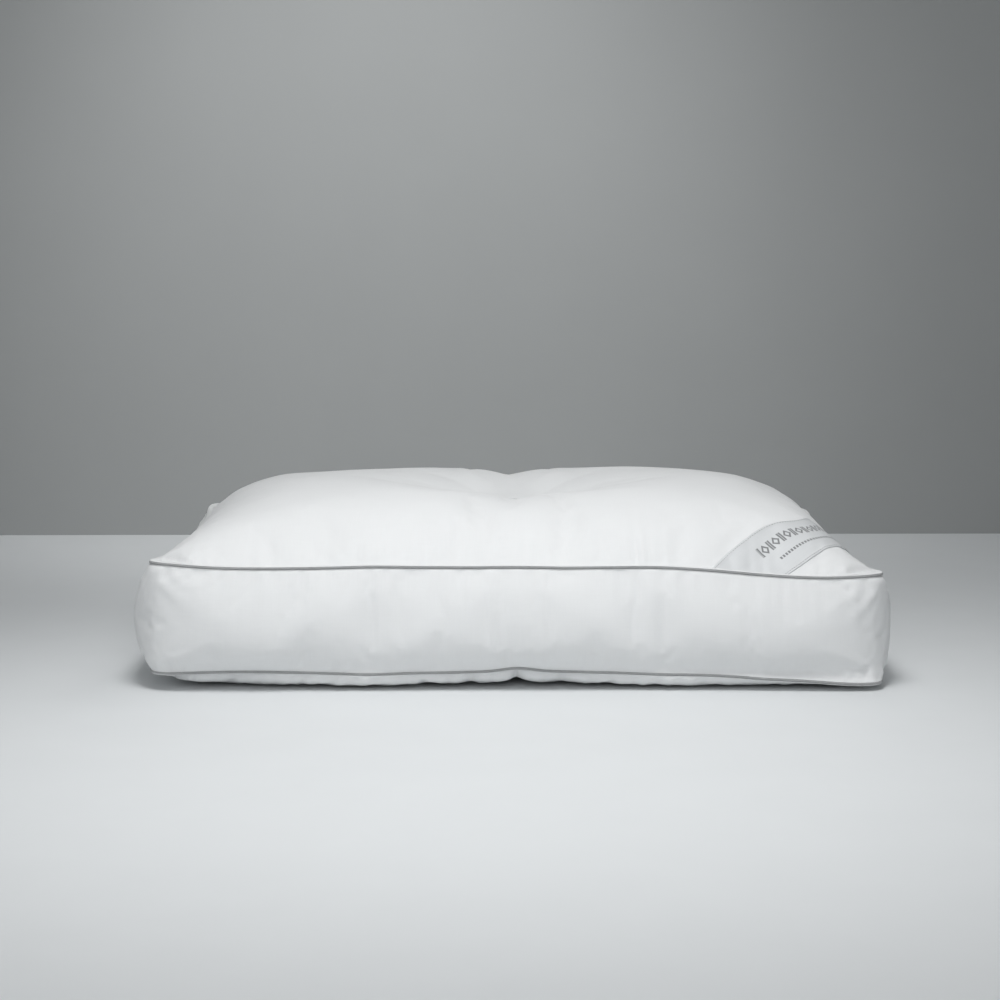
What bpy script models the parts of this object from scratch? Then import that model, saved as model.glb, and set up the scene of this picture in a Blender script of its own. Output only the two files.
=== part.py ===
"""Box pillow, built as it is sewn. Two domed cloth panels and a side band meet at two corded seams.

The pillow is stuffed with fibre, and a tape sewn to both panels pulls the centre in. The frame has +Z up,
the front side faces -Y, and the origin is under the centre, on the surface that the pillow rests on.
All sizes are in metres.
"""

import math

import bpy
import numpy as np

# The filled shape
SEAM_LENGTH = 0.680
SEAM_DEPTH = 0.486
CORNER_RADIUS = 0.024
SIDE_PULL = 0.010
GUSSET_HEIGHT = 0.100
GUSSET_BULGE = 0.016
UNDERSIDE_RISE = 0.015
DOME_RISE = 0.069
DOME_SHARPNESS = 0.75
DOME_FLATNESS = 4.0

# The tuft at the centre, and the four valleys that run from it
TUFT_RADIUS = 0.015
TUFT_DEPTH = 0.0345
TUFT_SPREAD = 0.036
TUFT_LIFT = 0.020
VALLEY_DEPTH = 0.006
VALLEY_WIDTH = 0.022
VALLEY_REACH = 0.170

# The underside lies flat between these two shares of the way from the tuft to the seam
FLAT_FROM = 0.45
FLAT_TO = 0.86

# Cloth, piping and thread
CLOTH = 0.0005
COVER_CLOTH = 0.0003
COVER_SLIT = 0.00024
BEAD_RADIUS = 0.0010
SEAM_ALLOWANCE = 0.009
LAYER_GAP = 0.00033
THREAD_RADIUS = 0.00016
THREAD_INSET = 0.003

# The tape that holds the two panels together
TAPE_WIDTH = 0.012
TAPE_THICKNESS = 0.0008
TAPE_FOOT = 0.011
TACK_LENGTH = 0.010
TACK_WIDTH = 0.0012
TACK_HEIGHT = 0.0004

# The satin ribbon sewn across the front right corner. Its edges' distances from the corner are on the diagonal,
# and the panel's dome draws its far edge towards the corner in the middle.
LABEL_THICKNESS = 0.00035
LABEL_OUTER = 0.121
LABEL_INNER = 0.060
LABEL_BOW = 0.010
LABEL_OVERRUN = 0.030
LABEL_HEM = 0.004
LABEL_TUCK = 0.2
STITCH_WIDTH = 0.0006
STITCH_HEIGHT = 0.0003

# How finely the round shapes are cut
LONG_STEPS = 10
SHORT_STEPS = 6
CORNER_STEPS = 3
LABEL_STEPS = 14

# Sizes that follow from those above
STACK = COVER_SLIT / 2 + COVER_CLOTH + LAYER_GAP
BOTTOM_SEAM = UNDERSIDE_RISE
TOP_SEAM = BOTTOM_SEAM + GUSSET_HEIGHT
TOP_FOLD = TOP_SEAM + STACK
BOTTOM_FOLD = BOTTOM_SEAM - STACK
BEAD_CENTRE = BEAD_RADIUS + CLOTH
CORD_RADIUS = BEAD_RADIUS - COVER_CLOTH - LAYER_GAP
TUFT_TOP = TOP_FOLD + DOME_RISE - TUFT_DEPTH
TUFT_BOTTOM = TUFT_LIFT
FILL_INSET = CLOTH + LAYER_GAP
FILL_CLEAR = SEAM_ALLOWANCE + 0.0015
FILL_PASS = STACK + CLOTH + 0.0016
TAPE_HOLE = TAPE_WIDTH / 2 + 0.0025

TOP_RINGS = (0.985, 0.95, 0.90, 0.82, 0.70, 0.55, 0.40, 0.25, 0.12)
BOTTOM_RINGS = (0.96, 0.91, FLAT_TO, FLAT_FROM, 0.30, 0.15)
GUSSET_ROWS = (0.07, 0.18, 0.33, 0.50, 0.67, 0.82, 0.93)


def seam_outline():
    """The stitch line seen from above, anticlockwise from the middle of the back, and its outward normals."""
    half_x = SEAM_LENGTH / 2
    half_y = SEAM_DEPTH / 2
    run_x = half_x - CORNER_RADIUS
    run_y = half_y - CORNER_RADIUS
    points = []

    def side(start, end, steps):
        for k in range(steps):
            share = k / steps
            points.append([start[0] + (end[0] - start[0]) * share, start[1] + (end[1] - start[1]) * share])

    def corner(centre, first_angle):
        for k in range(CORNER_STEPS):
            angle = first_angle + math.pi / 2 * k / CORNER_STEPS
            x = centre[0] + CORNER_RADIUS * math.cos(angle)
            y = centre[1] + CORNER_RADIUS * math.sin(angle)
            points.append([x, y])

    side((0, half_y), (-run_x, half_y), LONG_STEPS // 2)
    corner((-run_x, run_y), math.pi / 2)
    side((-half_x, run_y), (-half_x, -run_y), SHORT_STEPS)
    corner((-run_x, -run_y), math.pi)
    side((-run_x, -half_y), (run_x, -half_y), LONG_STEPS)
    corner((run_x, -run_y), math.pi * 1.5)
    side((half_x, -run_y), (half_x, run_y), SHORT_STEPS)
    corner((run_x, run_y), 0)
    side((run_x, half_y), (0, half_y), LONG_STEPS // 2)
    line = np.array(points)
    share_x = np.clip(np.abs(line[:, 0]) / run_x, 0, 1)
    share_y = np.clip(np.abs(line[:, 1]) / run_y, 0, 1)
    line[:, 1] -= np.sign(line[:, 1]) * SIDE_PULL * (1 - share_x**2)
    line[:, 0] -= np.sign(line[:, 0]) * SIDE_PULL * (1 - share_y**2)
    along = np.roll(line, -1, axis=0) - np.roll(line, 1, axis=0)
    normals = np.stack([along[:, 1], -along[:, 0]], axis=1)
    return line, normals / np.linalg.norm(normals, axis=1)[:, None]


SEAM, OUTWARD = seam_outline()
COUNT = len(SEAM)
TUFT = TUFT_RADIUS * SEAM / np.linalg.norm(SEAM, axis=1)[:, None]


def seam_ring(out, height):
    """The stitch line moved outward by a distance and lifted to a height."""
    flat = SEAM + OUTWARD * out
    return np.column_stack([flat, np.full(COUNT, height)])


def circle_ring(radius, height):
    return np.column_stack([TUFT * radius / TUFT_RADIUS, np.full(COUNT, height)])


def valley(x, y):
    """How far the valleys that run from the tuft lower the top at a place."""
    across_front = np.exp(-np.abs(x) / VALLEY_WIDTH) * np.clip(1 - np.abs(y) / VALLEY_REACH, 0, 1)
    across_side = np.exp(-np.abs(y) / VALLEY_WIDTH) * np.clip(1 - np.abs(x) / VALLEY_REACH, 0, 1)
    return VALLEY_DEPTH * np.maximum(across_front, across_side)


def top_ring(share):
    """A ring of the top panel's outer face, a share of the way from the tuft to the seam."""
    flat = TUFT * (1 - share) + SEAM * share
    dome = DOME_RISE * (1 - share**DOME_FLATNESS) ** DOME_SHARPNESS
    from_tuft = np.linalg.norm(flat - TUFT, axis=1)
    pulled = TUFT_DEPTH * np.exp(-from_tuft / TUFT_SPREAD)
    lowered = valley(flat[:, 0], flat[:, 1]) * (1 - np.exp(-from_tuft / TUFT_SPREAD))
    return np.column_stack([flat, TOP_FOLD + dome - pulled - lowered])


def bottom_ring(share):
    """A ring of the bottom panel's outer face. It lies at height 0 over the flat zone."""
    flat = TUFT * (1 - share) + SEAM * share
    rise = BOTTOM_FOLD * (max(share - FLAT_TO, 0) / (1 - FLAT_TO)) ** 2
    lift = TUFT_BOTTOM * max(1 - share / FLAT_FROM, 0) ** 2
    return np.column_stack([flat, np.full(COUNT, rise + lift)])


def grid_faces(rows):
    """The four-sided faces between successive rings."""
    faces = []
    for row in range(rows - 1):
        here = row * COUNT
        below = here + COUNT
        for column in range(COUNT):
            after = (column + 1) % COUNT
            faces.append((here + column, here + after, below + after, below + column))
    return faces


def face_normal(points, face):
    corners = points[list(face)]
    if len(face) == 3:
        normal = np.cross(corners[1] - corners[0], corners[2] - corners[0])
    else:
        normal = np.cross(corners[2] - corners[0], corners[3] - corners[1])
    return normal / np.linalg.norm(normal)


def inward_steps(points, faces):
    """For each point, the step that takes every face round it back by one unit of thickness."""
    around = [[] for _ in points]
    for face in faces:
        normal = face_normal(points, face)
        for index in face:
            around[index].append(normal)
    steps = np.zeros_like(points)
    for index, normals in enumerate(around):
        steps[index] = np.linalg.lstsq(np.array(normals), -np.ones(len(normals)), rcond=0.15)[0]
    return steps


def sheet_surface(rings, centre=None):
    """Points and faces of one face of a sheet, from its rings and an optional closing centre point."""
    points = np.concatenate(rings)
    faces = grid_faces(len(rings))
    if centre is not None:
        points = np.vstack([points, centre])
        last = (len(rings) - 1) * COUNT
        for column in range(COUNT):
            faces.append((last + column, last + (column + 1) % COUNT, len(points) - 1))
    return points, faces


def add_object(name, points, faces, material):
    mesh = bpy.data.meshes.new(name)
    mesh.from_pydata([tuple(map(float, point)) for point in points], [], [tuple(face) for face in faces])
    mesh.materials.append(material)
    mesh.validate()
    thing = bpy.data.objects.new(name, mesh)
    bpy.context.scene.collection.objects.link(thing)
    return thing


def signed_volume(points, faces):
    total = 0.0
    for face in faces:
        for k in range(1, len(face) - 1):
            total += np.dot(points[face[0]], np.cross(points[face[k]], points[face[k + 1]]))
    return total / 6


def split_quads(points, faces):
    """Each four-sided face cut into two along the diagonal that lies further out."""
    cut = []
    for face in faces:
        if len(face) == 3:
            cut.append(tuple(face))
            continue
        a, b, c, d = face
        across = (points[a] + points[c]) - (points[b] + points[d])
        if np.dot(across, face_normal(points, face)) > 0:
            cut += [(a, b, c), (a, c, d)]
        else:
            cut += [(b, c, d), (b, d, a)]
    return cut


def add_sheet(name, outer, inner, faces, material):
    """A closed solid between two faces of a sheet that share their layout."""
    count = len(outer)
    skin = split_quads(outer, faces)
    solid = list(skin)
    solid += [tuple(index + count for index in reversed(face)) for face in skin]
    edges = {(face[k], face[(k + 1) % 3]) for face in skin for k in range(3)}
    for first, second in sorted(edges):
        if (second, first) not in edges:
            solid.append((second, first, first + count))
            solid.append((second, first + count, second + count))
    return add_object(name, np.vstack([outer, inner]), solid, material)


def add_loop(name, rings, material):
    """A closed solid from rings whose last joins the first again."""
    points = np.concatenate(rings)
    faces = grid_faces(len(rings))
    last = (len(rings) - 1) * COUNT
    for column in range(COUNT):
        after = (column + 1) % COUNT
        faces.append((last + column, last + after, after, column))
    if signed_volume(points, faces) < 0:
        faces = [face[::-1] for face in faces]
    return add_object(name, points, split_quads(points, faces), material)


def add_prism(name, outline, low, high, material):
    """An upright solid on an anticlockwise outline."""
    count = len(outline)
    points = [(x, y, low) for x, y in outline] + [(x, y, high) for x, y in outline]
    faces = [tuple(reversed(range(count))), tuple(range(count, 2 * count))]
    for k in range(count):
        after = (k + 1) % count
        faces.append((k, after, after + count, k + count))
    return add_object(name, points, faces, material)


def make_material(name, colour, roughness, metallic=0.0):
    material = bpy.data.materials.new(name)
    material.use_nodes = True
    shader = material.node_tree.nodes["Principled BSDF"]
    shader.inputs["Base Color"].default_value = (*colour, 1.0)
    shader.inputs["Roughness"].default_value = roughness
    shader.inputs["Metallic"].default_value = metallic
    material.diffuse_color = (*colour, 1.0)
    return material


def build_top_panel(cloth):
    rings = [seam_ring(-SEAM_ALLOWANCE, TOP_FOLD), seam_ring(0, TOP_FOLD)]
    rings += [top_ring(share) for share in TOP_RINGS]
    rings.append(circle_ring(TUFT_RADIUS, TUFT_TOP))
    outer, faces = sheet_surface(rings, np.array([0, 0, TUFT_TOP]))
    steps = inward_steps(outer, faces)
    add_sheet("top_panel", outer, outer + steps * CLOTH, faces, cloth)
    return rings, steps


def build_bottom_panel(cloth):
    rings = [seam_ring(-SEAM_ALLOWANCE, BOTTOM_FOLD), seam_ring(0, BOTTOM_FOLD)]
    rings += [bottom_ring(share) for share in BOTTOM_RINGS]
    rings.append(circle_ring(TUFT_RADIUS, TUFT_BOTTOM))
    outer, faces = sheet_surface(rings, np.array([0, 0, TUFT_BOTTOM]))
    faces = [face[::-1] for face in faces]
    steps = inward_steps(outer, faces)
    add_sheet("bottom_panel", outer, outer + steps * CLOTH, faces, cloth)
    return rings, steps


def build_gusset(cloth):
    high = TOP_SEAM - STACK
    low = BOTTOM_SEAM + STACK
    rings = [seam_ring(-SEAM_ALLOWANCE, high), seam_ring(0, high)]
    for share in GUSSET_ROWS:
        out = GUSSET_BULGE * math.sin(math.pi * share) ** 0.8
        rings.append(seam_ring(out, high + (low - high) * share))
    rings += [seam_ring(0, low), seam_ring(-SEAM_ALLOWANCE, low)]
    outer, faces = sheet_surface(rings)
    faces = [face[::-1] for face in faces]
    steps = inward_steps(outer, faces)
    add_sheet("gusset_band", outer, outer + steps * CLOTH, faces, cloth)
    return rings, steps


def piping_section():
    """Half-open tube with a two-layer flange, as (outward, up) pairs round its cross-section."""
    flange = COVER_SLIT / 2 + COVER_CLOTH
    slit = COVER_SLIT / 2
    bore = BEAD_RADIUS - COVER_CLOTH
    section = [(-SEAM_ALLOWANCE, flange)]
    first = math.pi - math.asin(flange / BEAD_RADIUS)
    for k in range(9):
        angle = first - 2 * first * k / 8
        section.append((BEAD_CENTRE + BEAD_RADIUS * math.cos(angle), BEAD_RADIUS * math.sin(angle)))
    section += [(-SEAM_ALLOWANCE, -flange), (-SEAM_ALLOWANCE, -slit)]
    first = math.asin(slit / bore) - math.pi
    for k in range(9):
        angle = first - 2 * first * k / 8
        section.append((BEAD_CENTRE + bore * math.cos(angle), bore * math.sin(angle)))
    section.append((-SEAM_ALLOWANCE, slit))
    return section


def build_piping(side, height, cover, cord):
    rings = [seam_ring(out, height + up) for out, up in piping_section()]
    add_loop(side + "_piping_cover", rings, cover)
    rings = []
    for k in range(6):
        angle = math.pi / 3 * k
        out = BEAD_CENTRE + CORD_RADIUS * math.cos(angle)
        rings.append(seam_ring(out, height + CORD_RADIUS * math.sin(angle)))
    add_loop(side + "_piping_cord", rings, cord)


def build_seam_thread(side, height, thread):
    """The stitch line lies on the band's turned-in edge, inside the pillow."""
    rings = []
    for k in range(4):
        angle = math.pi / 4 + math.pi / 2 * k
        out = THREAD_RADIUS * math.cos(angle) - THREAD_INSET
        rings.append(seam_ring(out, height + THREAD_RADIUS * math.sin(angle)))
    add_loop(side + "_seam_thread", rings, thread)


def inset_ring(rings, steps, index):
    """A ring of the filling, one inset behind a ring of the cloth."""
    first = index * COUNT
    return rings[index] + steps[first:first + COUNT] * FILL_INSET


def build_fill(top, bottom, gusset, fibre):
    """The filling follows the inside of the cloth, passes round the seam edges, and has a hole for the tape."""
    foot = CLOTH + 2 * LAYER_GAP + TAPE_THICKNESS
    rings = [circle_ring(TAPE_HOLE, TUFT_TOP - foot), circle_ring(TUFT_RADIUS, TUFT_TOP - foot)]
    for index in range(len(top[0]) - 2, 2, -1):
        rings.append(inset_ring(*top, index))
    rings.append(seam_ring(-FILL_CLEAR, TOP_SEAM + FILL_PASS))
    rings.append(seam_ring(-FILL_CLEAR, TOP_SEAM - FILL_PASS))
    for index in range(2, len(gusset[0]) - 2):
        rings.append(inset_ring(*gusset, index))
    rings.append(seam_ring(-FILL_CLEAR, BOTTOM_SEAM + FILL_PASS))
    rings.append(seam_ring(-FILL_CLEAR, BOTTOM_SEAM - STACK - CLOTH - LAYER_GAP))
    for index in range(3, len(bottom[0]) - 1):
        rings.append(inset_ring(*bottom, index))
    rings += [circle_ring(TUFT_RADIUS, TUFT_BOTTOM + foot), circle_ring(TAPE_HOLE, TUFT_BOTTOM + foot)]
    add_loop("fibre_fill", rings, fibre)


def build_tape(tape):
    """A flat tape with both ends turned forward and sewn down."""
    low = TUFT_BOTTOM + CLOTH + LAYER_GAP
    high = TUFT_TOP - CLOTH - LAYER_GAP
    half = TAPE_THICKNESS / 2
    profile = [(-half, low), (TAPE_FOOT, low), (TAPE_FOOT, low + TAPE_THICKNESS), (half, low + TAPE_THICKNESS),
               (half, high - TAPE_THICKNESS), (TAPE_FOOT, high - TAPE_THICKNESS), (TAPE_FOOT, high), (-half, high)]
    count = len(profile)
    points = [(TAPE_WIDTH / 2, y, z) for y, z in profile] + [(-TAPE_WIDTH / 2, y, z) for y, z in profile]
    faces = [tuple(range(count)), tuple(reversed(range(count, 2 * count)))]
    for k in range(count):
        after = (k + 1) % count
        faces.append((after, k, k + count, after + count))
    add_object("centre_tie", points, faces, tape)


def build_tack(name, low, thread):
    middle = TAPE_FOOT / 2 + TAPE_THICKNESS / 4
    half_x = TACK_LENGTH / 2
    half_y = TACK_WIDTH / 2
    outline = [(-half_x, middle - half_y), (half_x, middle - half_y),
               (half_x, middle + half_y), (-half_x, middle + half_y)]
    add_prism(name, outline, low, low + TACK_HEIGHT, thread)


def label_edge(distance):
    """One edge of the ribbon seen from above, from beyond the right seam to beyond the front seam."""
    corner = (SEAM_LENGTH / 2, -SEAM_DEPTH / 2)
    bow = LABEL_BOW * (distance - LABEL_INNER) / (LABEL_OUTER - LABEL_INNER)
    reach = distance + LABEL_OVERRUN
    edge = []
    for k in range(LABEL_STEPS + 1):
        along = reach * (1 - 2 * k / LABEL_STEPS)
        away = distance - bow * max(0, 1 - (along / distance) ** 2)
        edge.append((corner[0] + (along - away) / math.sqrt(2), corner[1] + (along + away) / math.sqrt(2)))
    return edge


def label_band(inner, outer):
    """The ribbon's outline from above: a band at 45 degrees, running past both seams."""
    return label_edge(outer) + label_edge(inner)[::-1]


def build_on_panel(name, top, low, thickness, inner, outer, material):
    """A thin piece that lies on the top panel at a height above it, cut to a band across the corner."""
    rings, steps = top
    panel_steps = [steps[k * COUNT:(k + 1) * COUNT] for k in range(len(rings))]
    edge = rings[1] * (1 - LABEL_TUCK) + rings[2] * LABEL_TUCK
    base = [edge] + rings[2:10]
    out = [panel_steps[2]] + panel_steps[2:10]
    points, faces = sheet_surface(base)
    lift = -np.concatenate(out)
    piece = add_sheet(name, points + lift * (low + thickness), points + lift * low, faces, material)
    cutter = add_prism(name + "_cutter", label_band(inner, outer), 0, TOP_SEAM + DOME_RISE * 2, material)
    cutter.hide_render = True
    cutter.display_type = "WIRE"
    cut = piece.modifiers.new("band", "BOOLEAN")
    cut.operation = "INTERSECT"
    cut.solver = "EXACT"
    cut.object = cutter


def main():
    for thing in list(bpy.data.objects):
        bpy.data.objects.remove(thing, do_unlink=True)
    percale = make_material("white_percale", (0.84, 0.86, 0.87), 0.85)
    under = make_material("underside_percale", (0.82, 0.84, 0.85), 0.87)
    band = make_material("gusset_percale", (0.83, 0.85, 0.86), 0.85)
    top_cover = make_material("top_piping_cloth", (0.13, 0.135, 0.14), 0.80)
    bottom_cover = make_material("bottom_piping_cloth", (0.125, 0.13, 0.135), 0.80)
    top_cord = make_material("top_cotton_cord", (0.74, 0.72, 0.66), 0.90)
    bottom_cord = make_material("bottom_cotton_cord", (0.72, 0.70, 0.64), 0.90)
    top_thread = make_material("top_seam_polyester", (0.80, 0.80, 0.80), 0.60)
    bottom_thread = make_material("bottom_seam_polyester", (0.78, 0.78, 0.78), 0.60)
    satin = make_material("silver_satin", (0.50, 0.52, 0.53), 0.38)
    outer_stitch = make_material("outer_stitch_polyester", (0.60, 0.62, 0.63), 0.55)
    inner_stitch = make_material("inner_stitch_polyester", (0.58, 0.60, 0.61), 0.55)
    fibre = make_material("polyester_fibre", (0.90, 0.90, 0.88), 0.95)
    tape = make_material("cotton_tape", (0.80, 0.79, 0.75), 0.88)
    top_tack = make_material("top_tack_polyester", (0.82, 0.83, 0.83), 0.60)
    bottom_tack = make_material("bottom_tack_polyester", (0.81, 0.82, 0.82), 0.60)

    top = build_top_panel(percale)
    bottom = build_bottom_panel(under)
    gusset = build_gusset(band)
    build_piping("top", TOP_SEAM, top_cover, top_cord)
    build_piping("bottom", BOTTOM_SEAM, bottom_cover, bottom_cord)
    below = STACK + CLOTH + LAYER_GAP + THREAD_RADIUS
    build_seam_thread("top", TOP_SEAM - below, top_thread)
    build_seam_thread("bottom", BOTTOM_SEAM + below, bottom_thread)
    build_fill(top, bottom, gusset, fibre)
    build_tape(tape)
    build_tack("top_tie_tack", TUFT_TOP + LAYER_GAP, top_tack)
    build_tack("bottom_tie_tack", TUFT_BOTTOM - LAYER_GAP - TACK_HEIGHT, bottom_tack)
    build_on_panel("corner_label", top, LAYER_GAP, LABEL_THICKNESS, LABEL_INNER, LABEL_OUTER, satin)
    above = 2 * LAYER_GAP + LABEL_THICKNESS
    hem = LABEL_OUTER - LABEL_HEM
    build_on_panel("label_stitch_outer", top, above, STITCH_HEIGHT, hem - STITCH_WIDTH, hem, outer_stitch)
    hem = LABEL_INNER + LABEL_HEM
    build_on_panel("label_stitch_inner", top, above, STITCH_HEIGHT, hem, hem + STITCH_WIDTH, inner_stitch)


main()
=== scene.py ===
"""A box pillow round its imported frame: two cloth panels and a side band, cut flat, sewn with corded piping
into a box and blown up by cloth simulation until they lie as a stuffed pillow does. All sizes are in metres.
"""
import math

import bpy
import numpy as np
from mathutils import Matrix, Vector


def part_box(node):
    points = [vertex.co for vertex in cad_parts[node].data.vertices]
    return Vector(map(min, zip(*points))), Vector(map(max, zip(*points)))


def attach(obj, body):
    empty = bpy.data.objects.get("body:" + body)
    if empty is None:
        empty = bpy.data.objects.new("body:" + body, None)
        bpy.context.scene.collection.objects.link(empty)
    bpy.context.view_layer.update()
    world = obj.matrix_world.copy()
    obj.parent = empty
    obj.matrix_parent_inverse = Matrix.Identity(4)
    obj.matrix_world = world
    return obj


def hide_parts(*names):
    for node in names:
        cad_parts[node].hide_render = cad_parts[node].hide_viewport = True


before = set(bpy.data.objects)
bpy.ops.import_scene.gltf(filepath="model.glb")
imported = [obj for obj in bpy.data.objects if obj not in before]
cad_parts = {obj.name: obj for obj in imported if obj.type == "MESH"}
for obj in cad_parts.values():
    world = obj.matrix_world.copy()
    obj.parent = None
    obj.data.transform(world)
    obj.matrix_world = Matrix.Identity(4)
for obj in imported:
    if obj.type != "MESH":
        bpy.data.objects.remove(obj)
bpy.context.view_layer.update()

# The flat cut, between stitch lines
CUT_LENGTH = 0.706
CUT_DEPTH = 0.504
BAND_HEIGHT = 0.110
CUT_CORNER = 0.014
ALLOWANCE = 0.009
CLOTH = 0.0005

# Simulation
CELL = 0.006
FRAMES = 60
PRESSURE = 4.0
WEIGHT_SHARE = 655.0  # share of gravity per square metre of cell, because each vertex weighs the same
VERTEX_MASS = 0.2
SEAM_SHRINK = 0.035
PIN_RADIUS = 0.0135
FLOOR_GAP = 0.002
FIRST_LIFT = 0.010  # how far above the floor the cut pieces start
SUNK = 0.0033  # how far above the floor the cloth comes to rest, taken off again afterwards

# Seams, from the frame
TIE_LOW, TIE_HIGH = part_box("centre_tie")
TAPE_GAP = 0.00083
TUFT_TOP = TIE_HIGH[2] + TAPE_GAP
TUFT_BOTTOM = TIE_LOW[2] - TAPE_GAP
BEAD_RADIUS = 0.0010
BEAD_OUT = 0.0007  # the bead's centre, outward from the seam and up from it
BEAD_UP = 0.0001
COVER = 0.0003  # thickness of the piping's cloth
CORD_RADIUS = 0.00058
SLIT = 0.00024  # between the two layers of a piping's flange


def placed(name, data):
    """An object that holds the data, linked to the scene."""
    thing = bpy.data.objects.new(name, data)
    bpy.context.scene.collection.objects.link(thing)
    return thing


def set_all(thing, **settings):
    for name, value in settings.items():
        setattr(thing, name, value)


# ---- the flat pattern and its simulation

def cut_lines(half):
    """Grid lines across a half-open side, with two cells in each rounded corner."""
    steps = max(2, round(CUT_CORNER / CELL))
    inner = half - CUT_CORNER
    middle = np.linspace(-inner, inner, 2 * round(inner / CELL) + 1)
    left = np.linspace(-half, -inner, steps + 1)[:-1]
    return np.concatenate([left, middle, -left[::-1]])


def rounded(x, y):
    """Grid points with the four square corners mapped onto rounded ones."""
    run_x, run_y = CUT_LENGTH / 2 - CUT_CORNER, CUT_DEPTH / 2 - CUT_CORNER
    u = np.clip((np.abs(x) - run_x) / CUT_CORNER, 0, 1)
    v = np.clip((np.abs(y) - run_y) / CUT_CORNER, 0, 1)
    in_corner = (u > 0) & (v > 0)
    round_x = run_x + CUT_CORNER * u * np.sqrt(1 - v * v / 2)
    round_y = run_y + CUT_CORNER * v * np.sqrt(1 - u * u / 2)
    return (np.where(in_corner, np.copysign(round_x, x), x),
            np.where(in_corner, np.copysign(round_y, y), y))


def border(rows, columns):
    """Flat indices of a grid's border, from the front left corner to the right, and on round."""
    front = [i for i in range(columns - 1)]
    right = [j * columns + columns - 1 for j in range(rows - 1)]
    back = [(rows - 1) * columns + i for i in range(columns - 1, 0, -1)]
    left = [j * columns for j in range(rows - 1, 0, -1)]
    return np.array(front + right + back + left)


def grid_quads(rows, columns, wrap=False):
    """Four-sided faces of a grid, facing up when its rows run back and its columns run right."""
    index = np.arange(rows * columns).reshape(rows, columns)
    if wrap:
        index = np.concatenate([index, index[:, :1]], axis=1)
    a, b, c, d = index[:-1, :-1], index[:-1, 1:], index[1:, 1:], index[1:, :-1]
    return np.stack([a, b, c, d], axis=-1).reshape(-1, 4)


XS, YS = cut_lines(CUT_LENGTH / 2), cut_lines(CUT_DEPTH / 2)
COLUMNS, ROWS = len(XS), len(YS)
FLAT_X, FLAT_Y = rounded(*np.meshgrid(XS, YS))
PANEL_SIZE = ROWS * COLUMNS
LOOP = border(ROWS, COLUMNS)
BAND_ROWS = round(BAND_HEIGHT / CELL) + 1
BAND_DOWN = np.linspace(0, BAND_HEIGHT, BAND_ROWS)
BAND_RUN = np.concatenate([[0], np.cumsum(np.hypot(*np.diff(
    np.column_stack([FLAT_X.ravel()[LOOP], FLAT_Y.ravel()[LOOP]]), axis=0).T))])


def sewn_box():
    """Points and faces of the three cut pieces sewn edge to edge, before any filling."""
    lift = FLOOR_GAP + FIRST_LIFT
    panel = np.column_stack([FLAT_X.ravel(), FLAT_Y.ravel(), np.full(FLAT_X.size, lift)])
    top = panel + [0, 0, BAND_HEIGHT]
    heights = np.linspace(BAND_HEIGHT, 0, BAND_ROWS)[1:-1]
    band = [panel[LOOP] + [0, 0, height] for height in heights]
    points = np.concatenate([top, panel] + band)
    count = len(LOOP)
    rows = [LOOP] + [2 * PANEL_SIZE + k * count + np.arange(count) for k in range(BAND_ROWS - 2)]
    rows.append(LOOP + PANEL_SIZE)
    band_index = np.array(rows)
    quads = grid_quads(ROWS, COLUMNS)
    sides = band_index.ravel()[grid_quads(BAND_ROWS, count, wrap=True)[:, ::-1]]
    return points, np.concatenate([quads, quads[:, ::-1] + PANEL_SIZE, sides]), band_index


def inflate(points, quads, band_index):
    """The sewn box blown up over a floor, with the tuft's two places drawn together and the seams gathered."""
    mesh = bpy.data.meshes.new("sewn_box")
    mesh.from_pydata(points.tolist(), [], quads.tolist())
    box = placed("sewn_box", mesh)
    scene = bpy.context.scene
    box.shape_key_add(name="Basis")
    pulled = box.shape_key_add(name="pulled")
    pins = box.vertex_groups.new(name="pins")
    near = np.hypot(points[:2 * PANEL_SIZE, 0], points[:2 * PANEL_SIZE, 1]) < PIN_RADIUS
    for index in np.flatnonzero(near):
        pins.add([int(index)], 1.0, "REPLACE")
        pulled.data[int(index)].co.z = (TUFT_TOP if index < PANEL_SIZE else TUFT_BOTTOM) + SUNK
    pulled.value = 0
    pulled.keyframe_insert("value", frame=1)
    pulled.value = 1
    pulled.keyframe_insert("value", frame=FRAMES // 2)
    seams = box.vertex_groups.new(name="seams")
    seams.add([int(index) for index in np.concatenate([band_index[0], band_index[-1]])], 1.0, "REPLACE")
    cloth = box.modifiers.new("Cloth", "CLOTH")
    set_all(cloth.settings, quality=6, mass=VERTEX_MASS, tension_stiffness=20, compression_stiffness=20,
            shear_stiffness=6, bending_stiffness=0.3, tension_damping=5, compression_damping=5, shear_damping=5,
            bending_damping=0.5, air_damping=2, vertex_group_mass="pins", use_pressure=True,
            uniform_pressure_force=PRESSURE, vertex_group_shrink="seams", shrink_min=0, shrink_max=SEAM_SHRINK)
    cloth.settings.effector_weights.gravity = WEIGHT_SHARE * CELL**2
    cloth.collision_settings.distance_min = FLOOR_GAP
    cloth.collision_settings.use_self_collision = False
    cloth.point_cache.frame_end = FRAMES
    bpy.ops.mesh.primitive_plane_add(size=4)
    floor = bpy.context.object
    floor.modifiers.new("Collision", "COLLISION")
    floor.collision.thickness_outer = FLOOR_GAP
    floor.collision.cloth_friction = 5
    scene.frame_start = 1
    scene.frame_end = FRAMES
    for now in range(1, FRAMES + 1):
        scene.frame_set(now)
    shaped = box.evaluated_get(bpy.context.evaluated_depsgraph_get())
    result = np.empty(len(points) * 3, np.float32)
    shaped.data.vertices.foreach_get("co", result)
    for thing in (box, floor):
        bpy.data.objects.remove(thing, do_unlink=True)
    scene.frame_set(1)
    result = result.reshape(-1, 3).astype(float)
    result[:, 2] -= result[:, 2].min()
    return result


# ---- shaping the simulated cloth

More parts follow.
